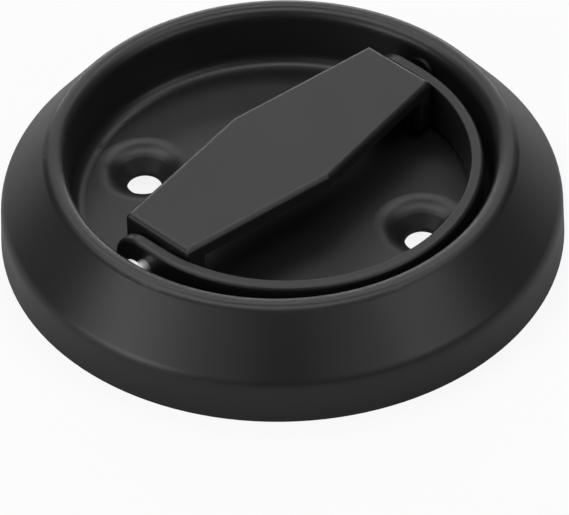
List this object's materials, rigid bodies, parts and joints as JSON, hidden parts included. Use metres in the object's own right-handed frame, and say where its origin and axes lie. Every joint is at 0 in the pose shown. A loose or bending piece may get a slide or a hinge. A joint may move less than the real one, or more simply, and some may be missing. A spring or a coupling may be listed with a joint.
{
  "type": "recessed pull handle",
  "caption": "Round pressed pull cup for letting into a panel, with a pivoted press plate across it that swings a half ring out to be pulled.",
  "frame": {"origin": "middle of the cup's round rim plane, which lies on the panel", "axes": "+Z out of the panel and out of the cup, +X along the pivot, +Y towards the half of the plate that is pressed; the ring's bow lies towards -Y"},
  "size_m": [0.08, 0.08, 0.0151],
  "materials": {
    "cup_paint": "satin black powder paint",
    "plate_paint": "satin black powder paint",
    "ring_paint": "satin black powder paint",
    "pin_steel": "turned, bright"
  },
  "bodies": {
    "base": {"cup": "cup_paint"},
    "lever": {"press_plate": "plate_paint", "half_ring": "ring_paint", "left_pivot_pin": "pin_steel", "right_pivot_pin": "pin_steel"}
  },
  "joints": [
    {"name": "lever_tilt", "type": "hinge", "parent": "base", "child": "lever", "pos_m": [0, 0, 0.0105], "axis": [-1, 0, 0], "range_deg": [0, 35]}
  ]
}
